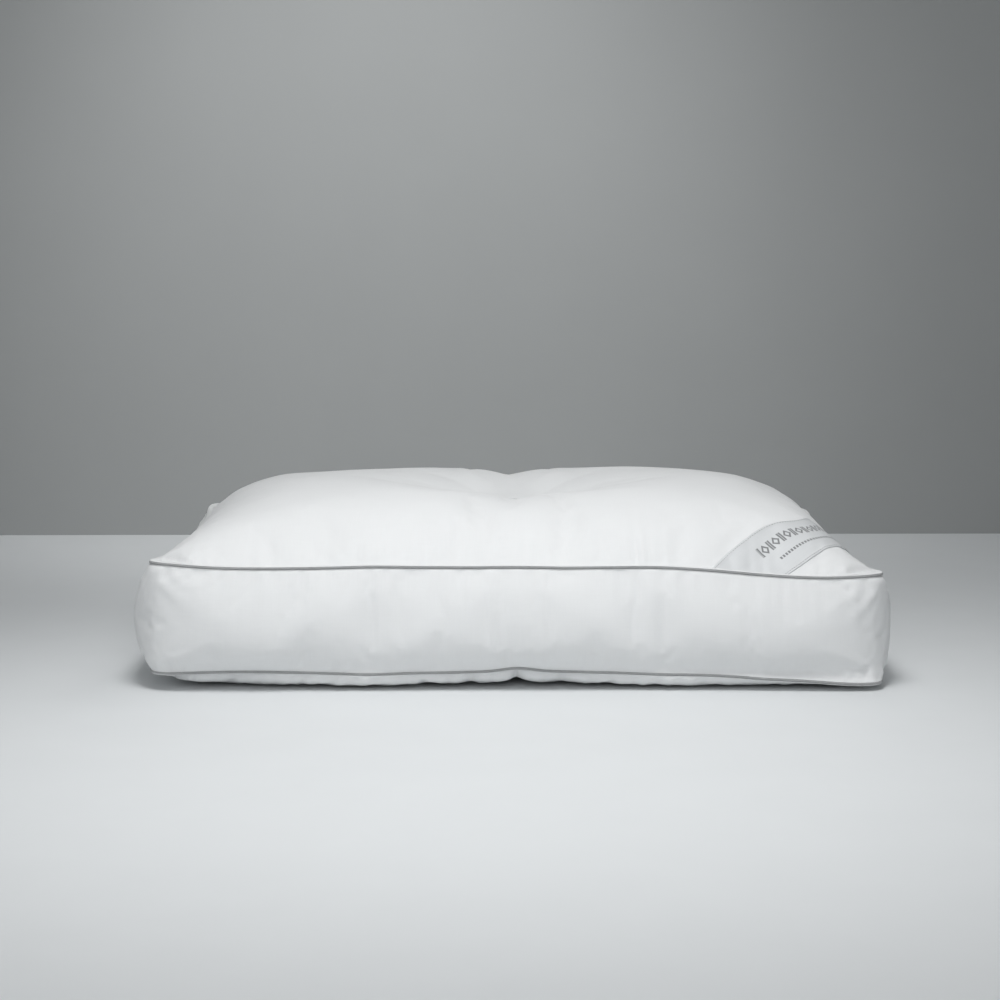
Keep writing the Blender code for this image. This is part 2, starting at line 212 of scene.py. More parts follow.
FOLD_SHARE = 0.35  # of the simulation's small folds, away from the corners and the tuft
SETTLED = 0.990  # heights shrink to this share
LOW_SEAM_LIFT = 0.0032
LOW_CORNER_LIFT = 0.0035
RIGHT_REST = 0.6
RIGHT_DROOP = 0.0110
BACK_DROOP = 0.0080
BACK_LIFT = 0.0060
STRIP_PUSH = 0.0085
LEFT_BULGE = 0.0060
RIGHT_BULGE = 0.0005
NOTCH_LIFT = 0.0070
SIDE_VALLEY = 0.0088
BACK_VALLEY = 0.0022
FRONT_VALLEY = 0.0022
BACK_RISE = 0.0042
GATHER = 0.0013
FAN_FOLD = 0.0008
UPPER_WAVES = (3, 0.011, 0.026)  # a random seed, and the shortest and longest wave
LOWER_WAVES = (5, 0.013, 0.030)


def smoothstep(low, high, value):
    """0 at low and 1 at high, with no kink. low may be the larger of the two."""
    share = np.clip((value - low) / (high - low), 0, 1)
    return share * share * (3 - 2 * share)


def relaxed(points, band_index, rounds):
    """The cloth with its small folds ironed out. Seam points average along the seam only."""
    points = points.copy()
    for _ in range(rounds):
        before = points.copy()
        for first in (0, PANEL_SIZE):
            panel = before[first:first + PANEL_SIZE].reshape(ROWS, COLUMNS, 3)
            inner = (panel[:-2, 1:-1] + panel[2:, 1:-1] + panel[1:-1, :-2] + panel[1:-1, 2:]) / 4
            ironed = points[first:first + PANEL_SIZE].reshape(ROWS, COLUMNS, 3)
            ironed[1:-1, 1:-1] = (inner + panel[1:-1, 1:-1]) / 2
        band = before[band_index]
        beside = (np.roll(band, 1, axis=1) + np.roll(band, -1, axis=1)) / 2
        inner = (band[:-2] + band[2:] + 2 * beside[1:-1]) / 4
        points[band_index[1:-1]] = (inner + band[1:-1]) / 2
        for row in (0, -1):
            points[band_index[row]] = (beside[row] + band[row]) / 2
    return points


def soften(points, band_index):
    """A share of the fine folding is kept over the panels, and all of it at the corners and the tuft."""
    smooth = relaxed(points, band_index, 14)
    x, y = np.abs(points[:, 0]), np.abs(points[:, 1])
    to_corner = np.hypot(CUT_LENGTH / 2 - 0.013 - x, CUT_DEPTH / 2 - 0.009 - y)
    at_corner = 1 - smoothstep(0.02, 0.07, to_corner)
    at_tuft = 1 - smoothstep(PIN_RADIUS * 0.8, 0.022, np.hypot(points[:, 0], points[:, 1]))
    keep = FOLD_SHARE + (1 - FOLD_SHARE) * np.maximum(at_corner, at_tuft)
    return smooth + (points - smooth) * keep[:, None]


def settle(points):
    """The uneven way this pillow lies: its labelled end hangs lower, its back corners stand up a little, and its
    underside seam stands off the floor.
    """
    x, y, z = points.T.copy()
    z *= SETTLED
    off_floor = np.clip(z / 0.012, 0, 1) ** 2
    low_seam = np.exp(-((z - 0.014) / 0.020) ** 2) * off_floor
    right = smoothstep(0.12, 0.335, x)
    front = smoothstep(0.10, -0.20, y)
    drop = right * (BACK_DROOP + (RIGHT_DROOP - BACK_DROOP) * front) * (1 - smoothstep(0.125, 0.155, z))
    drop *= 1 - 0.35 * (1 - smoothstep(0.02, 0.10, z))
    low_corner = np.exp(-((np.abs(x) - 0.345) / 0.035) ** 2 - ((y + 0.243) / 0.05) ** 2)
    low_corner *= 1 - smoothstep(0.02, 0.06, z)
    back = smoothstep(-0.10, 0.06, y) * smoothstep(0.112, 0.14, z)
    back_left = smoothstep(-0.19, -0.29, x) * back
    back_right = smoothstep(0.27, 0.31, x) * (1 - smoothstep(0.33, 0.35, x)) * back
    notch = np.exp(-np.abs(x) / 0.012) * smoothstep(-0.12, -0.20, y) * (1 - smoothstep(0.010, 0.035, z))
    lift = BACK_LIFT * (0.8 * back_left + 0.5 * back_right) + LOW_SEAM_LIFT * low_seam
    z += lift - (drop - LOW_CORNER_LIFT * low_corner) * off_floor
    z -= RIGHT_REST * z * np.exp(-(z / 0.010) ** 2) * smoothstep(0.10, 0.20, x) * smoothstep(-0.15, -0.20, y)
    z = np.maximum(z, 0) + NOTCH_LIFT * notch
    strip = STRIP_PUSH * smoothstep(-0.15, -0.22, y) * np.exp(-((z - 0.008) / 0.006) ** 2)
    bulge = np.where(x < 0, -LEFT_BULGE, RIGHT_BULGE) * smoothstep(0.30, 0.34, np.abs(x))
    points[:, 0] = x + bulge * np.sin(np.clip((z - 0.02) / 0.095, 0, 1) * math.pi)
    points[:, 1] = y - strip
    points[:, 2] = z
    return points


def crease(points):
    """The top panel's folds behind the tuft made even, the four valleys that run out from it and the rises on both
    sides of the back one, and the two places that the tie holds.
    """
    x, y, z = points[:PANEL_SIZE].T
    far_x, far_y = np.abs(x), np.abs(y)
    mirrored = z.reshape(ROWS, COLUMNS)[:, ::-1].ravel()
    even = np.where(x < 0, 1 - smoothstep(0.08, 0.14, far_x), 0) * smoothstep(-0.01, 0.03, y)
    z = z + even * (mirrored - z)
    side = SIDE_VALLEY * (0.75 * np.exp(-(far_y / 0.031) ** 2) + 0.25 * np.exp(-far_y / 0.008))
    side *= smoothstep(0.008, 0.045, far_x) * (1 - smoothstep(0.06, 0.20, far_x))
    back = BACK_VALLEY * np.exp(-np.abs(x + 0.004) / 0.012)
    back *= smoothstep(0.008, 0.03, y) * (1 - smoothstep(0.12, 0.24, y))
    front = FRONT_VALLEY * np.exp(-far_x / 0.006)
    front *= smoothstep(-0.006, -0.03, y) * (1 - smoothstep(-0.02, -0.16, y))
    rise = BACK_RISE * np.exp(-((far_x - 0.038) / 0.024) ** 2)
    rise *= smoothstep(0.03, 0.09, y) * (1 - smoothstep(0.16, 0.24, y))
    points[:PANEL_SIZE, 2] = z - side - back - front + rise
    for first, height in ((0, TUFT_TOP), (PANEL_SIZE, TUFT_BOTTOM)):
        panel = points[first:first + PANEL_SIZE]
        away = np.hypot(panel[:, 0], panel[:, 1])
        held = 1 - smoothstep(PIN_RADIUS, 0.045, away)
        centre = panel[away < PIN_RADIUS, 2]
        panel[:, 2] += held * (height - centre.mean())
        flat = 1 - smoothstep(PIN_RADIUS * 0.8, PIN_RADIUS * 1.3, away)
        panel[:, 2] += flat * (height - panel[:, 2])
    return points


def ripple(at, seed, low, high):
    """Uneven waves along a seam: sines between two wavelengths that swell, fade and die out at the corners."""
    rng = np.random.default_rng(seed)
    waves = np.zeros_like(at)
    for _ in range(7):
        length = rng.uniform(low, high)
        swell = 0.5 + 0.5 * np.sin(2 * math.pi * at / rng.uniform(0.11, 0.23) + rng.uniform(0, 2 * math.pi))
        waves += swell * np.sin(2 * math.pi * at / length + rng.uniform(0, 2 * math.pi))
    for corner in np.cumsum([0, CUT_LENGTH, CUT_DEPTH, CUT_LENGTH, CUT_DEPTH]):
        waves *= 1 - np.exp(-((at - corner) / 0.035) ** 2)
    return waves / 2.2


def gathers(points, band_index):
    """Small gathers that stand straight up from the seams, over the band and over both panels."""
    normals = vertex_normals(points, QUADS)
    offset = np.zeros(len(points))
    for row, down in zip(band_index[1:-1], BAND_DOWN[1:-1]):
        up = BAND_HEIGHT - down
        upper = smoothstep(0, 0.010, down) * np.exp(-down / 0.024)
        lower = smoothstep(0, 0.010, up) * np.exp(-up / 0.016)
        offset[row] = GATHER * (upper * ripple(BAND_RUN, *UPPER_WAVES) + 0.6 * lower * ripple(BAND_RUN, *LOWER_WAVES))
    x, y = FLAT_X.ravel(), FLAT_Y.ravel()
    half_x, half_y = CUT_LENGTH / 2, CUT_DEPTH / 2
    from_x, from_y = half_x - np.abs(x), half_y - np.abs(y)
    along_x = np.where(y < 0, half_x + x, CUT_LENGTH + CUT_DEPTH + half_x - x)
    along_y = np.where(x > 0, CUT_LENGTH + half_y + y, 2 * CUT_LENGTH + CUT_DEPTH + half_y - y)
    for far, along in ((from_y, along_x), (from_x, along_y)):
        reach = smoothstep(0, 0.010, far) * np.exp(-far / 0.030)
        offset[:PANEL_SIZE] += 0.9 * GATHER * reach * ripple(along, *UPPER_WAVES)
        offset[PANEL_SIZE:2 * PANEL_SIZE] += 0.7 * GATHER * reach * ripple(along, *LOWER_WAVES)
    return fan_folds(points + normals * offset[:, None], band_index)


def fan_folds(points, band_index):
    """Folds across the band that start at each of its eight corners."""
    normals = vertex_normals(points, QUADS)
    count = len(LOOP)
    corners = [0, COLUMNS - 1, COLUMNS + ROWS - 2, 2 * COLUMNS + ROWS - 3]
    for c, corner in enumerate(corners):
        for side in (-1, 1):
            for end in (0, 1):
                steps = (np.arange(count) - corner) * side % count
                away = np.where(steps < count // 4, steps * CELL, 9.0)
                for k, row in enumerate(band_index[1:-1], 1):
                    reach = BAND_DOWN[k] if end == 0 else BAND_HEIGHT - BAND_DOWN[k]
                    far = np.hypot(away, reach)
                    turn = np.arctan2(reach, away + 0.004)
                    phase = 0.7 * c + 1.9 * end + 0.8 * side
                    fold = 0.5 * np.sin(turn * 9 + phase) + 0.8 * np.sin(turn * 17 + 2 * phase)
                    size = FAN_FOLD * smoothstep(0.004, 0.020, far) * (1 - smoothstep(0.025, 0.075, far))
                    size = size * smoothstep(0, 0.012, reach) * smoothstep(0.0, 0.012, away)
                    points[row] += normals[row] * (size * fold)[:, None]
    return points


def refine(grid, times, wrap=False):
    """A grid of points with more of them between, on a smooth cubic through the given ones."""
    def along(values, closed):
        count = len(values)
        steps = count if closed else count - 1
        at = np.arange(steps * times + (0 if closed else 1)) / times
        base = np.minimum(at.astype(int), steps - 1)
        share = (at - base).reshape(-1, *([1] * (values.ndim - 1)))

        def pick(offset):
            index = base + offset
            if closed:
                return values[index % count]
            inside = values[np.clip(index, 0, count - 1)]
            ends = np.where((index < 0).reshape(share.shape), 2 * values[0] - values[1],
                            2 * values[-1] - values[-2])
            return np.where(((index < 0) | (index >= count)).reshape(share.shape), ends, inside)

        p0, p1, p2, p3 = (pick(k) for k in (-1, 0, 1, 2))
        return p1 + share / 2 * (p2 - p0 + share * (2 * p0 - 5 * p1 + 4 * p2 - p3
                                                    + share * (3 * (p1 - p2) + p3 - p0)))

    grid = along(grid, False)
    return np.swapaxes(along(np.swapaxes(grid, 0, 1), wrap), 0, 1)


def vertex_normals(points, quads):
    corners = points[quads]
    faces = np.cross(corners[:, 2] - corners[:, 0], corners[:, 3] - corners[:, 1])
    normals = np.zeros_like(points)
    for k in range(quads.shape[1]):
        np.add.at(normals, quads[:, k], faces)
    return normals / np.maximum(np.linalg.norm(normals, axis=1), 1e-12)[:, None]


# ---- making pieces

def add_piece(name, points, faces, material, coords=None):
    """A shown mesh. coords gives each point a place on the flat cut, in metres, for its weave."""
    mesh = bpy.data.meshes.new(name)
    mesh.from_pydata(np.asarray(points).tolist(), [], [list(map(int, face)) for face in faces])
    mesh.shade_smooth()
    mesh.materials.append(material)
    if coords is not None:
        layer = mesh.attributes.new("cloth", "FLOAT_VECTOR", "POINT")
        flat = np.zeros((len(points), 3), np.float32)
        flat[:, :np.shape(coords)[1]] = coords
        layer.data.foreach_set("vector", flat.ravel())
    return placed(name, mesh)


def finish_piece(piece, node):
    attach(piece, "root")
    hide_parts(node)


def closed_sheet(quads, count):
    """Faces of a sheet of count points, of a second sheet facing the other way, and of the rim between them."""
    edges = np.concatenate([quads[:, [k, (k + 1) % 4]] for k in range(4)])
    keys = edges[:, 0] * count + edges[:, 1]
    back_keys = edges[:, 1] * count + edges[:, 0]
    rim = edges[~np.isin(back_keys, keys)]
    rim_faces = np.stack([rim[:, 1], rim[:, 0], rim[:, 0] + count, rim[:, 1] + count], axis=1)
    return np.concatenate([quads, quads[:, ::-1] + count, rim_faces])


def thick_sheet(name, points, quads, material, coords):
    """Cloth of a real thickness, closed round its edges, with its outer face where the points are."""
    inner = points - vertex_normals(points, quads) * CLOTH
    faces = closed_sheet(quads, len(points))
    return add_piece(name, np.concatenate([points, inner]), faces, material, np.concatenate([coords, coords]))


def loop_frame(loop):
    """Outward directions, seen from above, of a closed row of points that runs anticlockwise."""
    along = np.roll(loop, -2, axis=0) - np.roll(loop, 2, axis=0)
    out = np.column_stack([along[:, 1], -along[:, 0], np.zeros(len(loop))])
    return out / np.linalg.norm(out, axis=1)[:, None]


def loop_length(loop):
    """Distance run along a closed row of points, and its whole length."""
    steps = np.linalg.norm(np.roll(loop, -1, axis=0) - loop, axis=1)
    return np.concatenate([[0], np.cumsum(steps)[:-1]]), steps.sum()


def ring_quads(rows, columns):
    """Faces of a grid that closes on itself both ways."""
    index = np.arange(rows * columns).reshape(rows, columns)
    index = np.concatenate([index, index[:1]])
    index = np.concatenate([index, index[:, :1]], axis=1)
    return np.stack([index[:-1, :-1], index[:-1, 1:], index[1:, 1:], index[1:, :-1]], axis=-1).reshape(-1, 4)


def ring_piece(name, loop, section, material):
    """A closed ring with the given cross-section, as (outward, up) pairs, swept along a loop."""
    out = loop_frame(loop)
    up = np.array([0, 0, 1.0])
    rows = [loop + out * a + up * b for a, b in section]
    quads = ring_quads(len(section), len(loop))
    run, _ = loop_length(loop)
    around = np.cumsum([0] + [math.dist(section[k], section[k + 1]) for k in range(len(section) - 1)])
    coords = np.stack([np.tile(run, len(section)), np.repeat(around, len(loop))], axis=1)
    points = np.concatenate(rows)
    middle = points.mean(axis=0)
    corners = points[quads] - middle
    if np.einsum("ij,ij->i", corners[:, 0], np.cross(corners[:, 1], corners[:, 2])).sum() < 0:
        quads = quads[:, ::-1]
    return add_piece(name, points, quads, material, coords)


def cover_section():
    """The piping's bias cloth: a tube left open into a two-layer flange."""
    flange = SLIT / 2 + COVER
    bore = BEAD_RADIUS - COVER
    section = [(-ALLOWANCE, flange), (-ALLOWANCE / 2, flange)]
    first = math.pi - math.asin(flange / BEAD_RADIUS)
    for k in range(13):
        angle = first - 2 * first * k / 12
        section.append((BEAD_OUT + BEAD_RADIUS * math.cos(angle), BEAD_UP + BEAD_RADIUS * math.sin(angle)))
    section += [(-ALLOWANCE / 2, -flange), (-ALLOWANCE, -flange), (-ALLOWANCE, -SLIT / 2)]
    first = math.asin(SLIT / 2 / bore) - math.pi
    for k in range(9):
        angle = first - 2 * first * k / 8
        section.append((BEAD_OUT + bore * math.cos(angle), BEAD_UP + bore * math.sin(angle)))
    section.append((-ALLOWANCE, SLIT / 2))
    return section


# ---- materials

class Shader:
    """A Principled material and short ways to add nodes to it."""

    def __init__(self, name, colour, roughness, **settings):
        self.colour = colour
        self.material = bpy.data.materials.new(name)
        self.material.use_nodes = True
        self.material.diffuse_color = (*colour, 1)
        self.tree = self.material.node_tree
        self.principled = self.tree.nodes["Principled BSDF"]
        for socket, value in {"Base Color": (*colour, 1), "Roughness": roughness, **settings}.items():
            self.principled.inputs[socket.replace("_", " ")].default_value = value

    def node(self, kind, *inputs, **settings):
        """A node whose inputs are given in order: a number, a colour, another node's output, or None."""
        made = self.tree.nodes.new(kind)
        set_all(made, **settings)
        for index, value in enumerate(inputs):
            self.feed(made.inputs[index], value)
        return made

    def feed(self, socket, value):
        if value is None:
            return
        if isinstance(value, bpy.types.NodeSocket):
            self.tree.links.new(value, socket)
        elif isinstance(value, bpy.types.Node):
            self.tree.links.new(value.outputs[0], socket)
        else:
            socket.default_value = value

    def math(self, operation, a, b=None, c=None):
        return self.node("ShaderNodeMath", a, b, c, operation=operation).outputs[0]

    def add(self, a, b):
        return self.math("ADD", a, b)

    def times(self, a, b):
        return self.math("MULTIPLY", a, b)

    def apart(self, a, b):
        return self.math("ABSOLUTE", self.math("SUBTRACT", a, b))

    def place(self, name="cloth"):
        """The place on the flat cut, then its first and second parts."""
        at = self.node("ShaderNodeAttribute", attribute_name=name, attribute_type="GEOMETRY")
        parts = self.node("ShaderNodeSeparateXYZ", at.outputs["Vector"])
        return at.outputs["Vector"], parts.outputs[0], parts.outputs[1]

    def noise(self, vector, scale, detail=2.0, stretch=(1, 1, 1)):
        spread = self.node("ShaderNodeVectorMath", vector, stretch, operation="MULTIPLY")
        made = self.node("ShaderNodeTexNoise")
        self.feed(made.inputs["Vector"], spread.outputs[0])
        self.feed(made.inputs["Scale"], scale)
        self.feed(made.inputs["Detail"], detail)
        return made.outputs["Fac"]

    def span(self, value, low, high, to_low, to_high):
        made = self.node("ShaderNodeMapRange", value, low, high, to_low, to_high)
        return made.outputs[0]

    def tint(self, factor, low, high):
        """A colour between two, by a factor. The first may be another node's output."""
        mix = self.node("ShaderNodeMix", data_type="RGBA")
        self.feed(mix.inputs[0], factor)
        self.feed(mix.inputs[6], low if isinstance(low, bpy.types.NodeSocket) else (*low, 1))
        self.feed(mix.inputs[7], (*high, 1))
        return mix.outputs[2]

    def toned(self, factor, low, high=1.0):
        """The material's own colour, between two shares of it."""
        return self.tint(factor, *(tuple(min(1, part * share) for part in self.colour) for share in (low, high)))

    def bump(self, height, distance, strength=1.0, after=None):
        made = self.node("ShaderNodeBump")
        self.feed(made.inputs["Strength"], strength)
        self.feed(made.inputs["Distance"], distance)
        self.feed(made.inputs["Height"], height)
        self.feed(made.inputs["Normal"], after)
        return made.outputs[0]

    def finish(self, colour=None, normal=None, roughness=None):
        self.feed(self.principled.inputs["Base Color"], colour)
        self.feed(self.principled.inputs["Normal"], normal)
        self.feed(self.principled.inputs["Roughness"], roughness)
        return self.material


def plain_weave(shader, across, along, pitch):
    """Height of a plain weave: threads that pass over and under each other at a pitch."""
    turn = 2 * math.pi / pitch
    warp = shader.math("SINE", shader.times(across, turn))
    weft = shader.math("SINE", shader.times(along, turn))
    return shader.times(warp, weft)


def percale(name, colour, roughness=0.86):
    """White cotton with a fine plain weave, faint slubs in both threads and soft uneven pressing."""
    shader = Shader(name, colour, roughness, Sheen_Weight=0.12, Sheen_Roughness=0.5, Specular_IOR_Level=0.25)
    vector, across, along = shader.place()
    weave = plain_weave(shader, across, along, 0.00042)
    warp_slub = shader.noise(vector, 900.0, 2.0, (1, 0.045, 1))
    weft_slub = shader.noise(vector, 900.0, 2.0, (0.045, 1, 1))
    slubs = shader.add(warp_slub, weft_slub)
    cloud = shader.noise(vector, 9.0, 3.0)
    shade = shader.add(shader.span(slubs, 0.7, 1.3, 0.0, 0.5), shader.span(cloud, 0.3, 0.7, 0.0, 0.5))
    tinted = shader.toned(shade, 0.965)
    height = shader.add(shader.times(weave, 0.5), slubs)
    fine = shader.bump(height, 0.00006, 0.5)
    soft = shader.bump(shader.noise(vector, 55.0, 4.0), 0.0010, 0.35, fine)
    return shader.finish(tinted, soft)


def bias_cloth(name, colour):
    """Grey piping cloth cut on the bias, so that its weave runs slantwise round the cord."""
    shader = Shader(name, colour, 0.8, Sheen_Weight=0.2, Specular_IOR_Level=0.2)
    vector, along, around = shader.place()
    slant = shader.add(along, around)
    counter = shader.math("SUBTRACT", along, around)
    weave = plain_weave(shader, slant, counter, 0.0006)
    worn = shader.noise(vector, 160.0, 3.0)
    # The weave's share of the colour is lighter on the raised threads and darker between them, as the bump: painted
    # shade. The worn noise adds random lighter patches.
    shade = shader.add(shader.span(weave, -1, 1, 0.0, 0.6), shader.span(worn, 0.3, 0.7, 0.0, 0.4))
    return shader.finish(shader.toned(shade, 1.0, 1.4), shader.bump(weave, 0.00010, 0.8))


def twisted(name, colour, pitch):
    """Thread or cord: plies that wind round a soft core."""
    shader = Shader(name, colour, 0.75, Sheen_Weight=0.2)
    vector, along, around = shader.place()
    turn = shader.add(shader.times(along, 2 * math.pi / pitch), shader.times(around, math.pi / pitch))
    ply = shader.math("SINE", turn)
    fuzz = shader.noise(vector, 1500.0, 2.0)
    # The colour is darker in the grooves between the plies, where the bump is low: painted shade. The fuzz varies the
    # tone at random.
    shade = shader.add(shader.span(ply, -1, 1, 0.0, 0.7), shader.times(fuzz, 0.3))
    return shader.finish(shader.toned(shade, 0.72), shader.bump(ply, pitch * 0.15, 0.8))


def satin(name, colour):
    """Silvery woven satin with fine ribs, and a printed row of plain ornament over a dashed line."""
    shader = Shader(name, colour, 0.46, Specular_IOR_Level=0.7, Anisotropic=0.5, Sheen_Weight=0.15)
    vector, run, across = shader.place("label_at")
    ribs = shader.math("SINE", shader.times(across, 2 * math.pi / 0.0007))
    floats = shader.noise(vector, 700.0, 2.0, (0.03, 1, 1))
    weave = shader.add(shader.times(ribs, 0.25), floats)
    cloud = shader.noise(vector, 22.0, 3.0)
    # The ground is lighter where the ribs and floats stand high and darker where they lie low, as the bump: painted
    # shade. The cloud varies the tone at random.
    shade = shader.add(shader.span(weave, 0.2, 0.8, 0.0, 0.35), shader.span(cloud, 0.35, 0.65, 0.0, 0.65))
    ground = shader.toned(shade, 1.0, 1.10)
    printed = shader.math("MAXIMUM", lozenge_row(shader, run, across), dash_row(shader, run, across))
    marked = shader.tint(shader.times(printed, 0.85), ground, PRINT_COLOUR)
    return shader.finish(marked, shader.bump(weave, 0.00005, 0.5))


def fold_back(shader, value, pitch):
    """Distance to the nearest multiple of a pitch."""
    return shader.math("PINGPONG", value, pitch / 2)


def inside(shader, value, limit, edge=0.0002):
    return shader.span(value, limit + edge, limit - edge, 0.0, 1.0)


def lozenge_row(shader, run, across):
    """Alternating lozenges and pairs of bars, all the same height, along the middle of the band."""
    high = shader.apart(across, ORNAMENT_AT)
    step = fold_back(shader, run, ORNAMENT_PITCH)
    slope = ORNAMENT_HALF / (ORNAMENT_PITCH * 0.30)
    reach = shader.add(high, shader.times(step, slope))
    ring = shader.times(inside(shader, reach, ORNAMENT_HALF),
                        shader.math("SUBTRACT", 1.0, inside(shader, reach, ORNAMENT_HALF * 0.50)))
    bar = inside(shader, shader.apart(step, ORNAMENT_PITCH * 0.42), BAR_HALF)
    bars = shader.times(bar, inside(shader, high, ORNAMENT_HALF))
    row = shader.math("MAXIMUM", ring, bars)
    return shader.times(row, inside(shader, shader.math("ABSOLUTE", run), ORNAMENT_REACH))


def dash_row(shader, run, across):
    """A finer dashed line beside the lozenges."""
    high = shader.apart(across, DASH_AT)
    dash = inside(shader, fold_back(shader, run, DASH_PITCH), DASH_PITCH * 0.30)
    row = shader.times(dash, inside(shader, high, DASH_HALF))
    return shader.times(row, inside(shader, shader.math("ABSOLUTE", run), DASH_REACH))


def tape(name, colour):
    """Herringbone cotton tape, its ribs laid out by its place in the pillow, with painted shade in the troughs
    between them.
    """
    shader = Shader(name, colour, 0.85, Sheen_Weight=0.15)
    at = shader.node("ShaderNodeTexCoord").outputs["Object"]
    parts = shader.node("ShaderNodeSeparateXYZ", at)
    chevron = shader.add(shader.add(parts.outputs[2], parts.outputs[1]), fold_back(shader, parts.outputs[0], 0.004))
    rib = shader.math("SINE", shader.times(chevron, 2 * math.pi / 0.0009))
    # The colour is darker in the troughs between the ribs, as the bump: painted shade.
    return shader.finish(shader.toned(shader.span(rib, -1, 1, 0, 1), 0.85), shader.bump(rib, 0.0001, 0.8))


def fibre(name, colour):
    """Loose polyester filling: tangled fine fibres over soft clumps."""
    shader = Shader(name, colour, 0.7, Sheen_Weight=0.3)
    at = shader.node("ShaderNodeTexCoord").outputs["Object"]
    clumps = shader.noise(at, 60.0, 4.0)
    hairs = shader.add(shader.noise(at, 1100.0, 3.0, (1, 0.1, 0.3)), shader.noise(at, 1100.0, 3.0, (0.1, 1, 0.3)))
    rough = shader.bump(shader.add(hairs, shader.times(clumps, 3)), 0.0008, 0.8)
    # The colour is darker between the clumps, where the bump is low: painted shade.
    return shader.finish(shader.toned(clumps, 0.8), rough)


def painted(name, colour, light, scale):
    """A matt studio surface with faint unevenness."""
    shader = Shader(name, colour, 0.75, Specular_IOR_Level=0.2)
    at = shader.node("ShaderNodeTexCoord").outputs["Object"]
    grain = shader.noise(at, scale, 4.0)
    return shader.finish(shader.tint(grain, colour, light), shader.bump(grain, 0.0006, 0.15))


# ---- the shaped cloth

points, QUADS, BAND_INDEX = sewn_box()
shape = inflate(points, QUADS, BAND_INDEX)
shape = gathers(crease(settle(soften(shape, BAND_INDEX))), BAND_INDEX)

REFINE = 2
seams = {"top": shape[BAND_INDEX[0]].copy(), "bottom": shape[BAND_INDEX[-1]].copy()}
for loop in seams.values():
    for _ in range(6):
        loop[:] = (np.roll(loop, 1, axis=0) + 2 * loop + np.roll(loop, -1, axis=0)) / 4
shape[BAND_INDEX[0]] = seams["top"]
shape[BAND_INDEX[-1]] = seams["bottom"]

top = refine(shape[:PANEL_SIZE].reshape(ROWS, COLUMNS, 3), REFINE)
bottom = refine(shape[PANEL_SIZE:2 * PANEL_SIZE].reshape(ROWS, COLUMNS, 3), REFINE)
band = refine(shape[BAND_INDEX], REFINE, wrap=True)
TOP_LOOP, BOTTOM_LOOP = band[0].copy(), band[-1].copy()
FINE_ROWS, FINE_COLUMNS = top.shape[:2]
FINE_LOOP = border(FINE_ROWS, FINE_COLUMNS)
flat = refine(np.dstack([FLAT_X, FLAT_Y]), REFINE)
FLAT_LOOP = flat.reshape(-1, 2)[FINE_LOOP]
FLAT_RUN, FLAT_ROUND = loop_length(np.column_stack([FLAT_LOOP, np.zeros(len(FLAT_LOOP))]))
JOIN = REFINE * (2 * (COLUMNS - 1) + ROWS - 1)  # the loops' cloth is joined at the back left corner
FLAT_RUN = (FLAT_RUN - FLAT_RUN[JOIN]) % FLAT_ROUND


# The turned edge of each panel at a seam, as (outward, up), for cloth that lies above the piping's flange
TURN = [(0.0008, 0.0018), (0.0012, 0.0012), (0.0002, 0.0013), (-0.0010, 0.0005),
        (-ALLOWANCE / 2, 0.0005), (-ALLOWANCE, 0.0005)]
TURN_RUN = np.cumsum([math.dist(TURN[k], TURN[k + 1]) for k in range(len(TURN) - 1)])
CUT_BAND = np.concatenate([-TURN_RUN[::-1], np.linspace(0, BAND_HEIGHT, len(band)), BAND_HEIGHT + TURN_RUN])


def turned_rows(loop, side):
    """Rows of points that carry a cloth's edge round the seam and into its allowance."""
    out = loop_frame(loop)
    up = np.array([0, 0, float(side)])
    return [loop + out * a + up * b for a, b in TURN]


def panel_piece(name, grid, loop, side, material):
    """One of the two large panels, its border turned in at the seam. side is 1 for the top and -1 below."""
    rows = turned_rows(loop, side)
    surface = grid.reshape(-1, 3).copy()
    surface[FINE_LOOP] = rows[0]
    size, count = len(surface), len(loop)
    faces = [grid_quads(FINE_ROWS, FINE_COLUMNS)]
    inner = FINE_LOOP
    for k in range(1, len(rows)):
        outer = size + (k - 1) * count + np.arange(count)
        faces.append(np.stack([inner, outer, np.roll(outer, -1), np.roll(inner, -1)], axis=1))
        inner = outer
    faces = np.concatenate(faces)
    flat_out = loop_frame(np.column_stack([FLAT_LOOP, np.zeros(count)]))[:, :2]
    coords = np.concatenate([flat.reshape(-1, 2)] + [FLAT_LOOP + flat_out * far for far in TURN_RUN])
    if side < 0:
        faces = faces[:, ::-1]
    return thick_sheet(name, np.concatenate([surface] + rows[1:]), faces, material, coords)


def band_piece(name, grid, material):
    """The side band, its two edges turned in at the seams."""
    upper, lower = turned_rows(grid[0], -1), turned_rows(grid[-1], 1)
    rows = upper[:0:-1] + [upper[0], *grid[1:-1], lower[0]] + lower[1:]
    surface = np.array(rows)
    coords = np.stack(np.meshgrid(FLAT_RUN, CUT_BAND), axis=-1).reshape(-1, 2)
    faces = grid_quads(len(rows), len(grid[0]), wrap=True)[:, ::-1]
    return thick_sheet(name, surface.reshape(-1, 3), faces, material, coords)


WHITE = (0.80, 0.81, 0.815)
# The bottom panel's white is the top's made a little darker: painted shade on the side that lies on the floor.
SHADED_UNDERSIDE_WHITE = (0.78, 0.79, 0.795)
PIPING_GREY = (0.35, 0.355, 0.36)
SILVER = (0.62, 0.635, 0.645)
PRINT_COLOUR = (0.12, 0.125, 0.13)
CORD_WHITE = (0.72, 0.69, 0.62)
THREAD_WHITE = (0.74, 0.75, 0.76)
THREAD_GREY = (0.42, 0.43, 0.44)

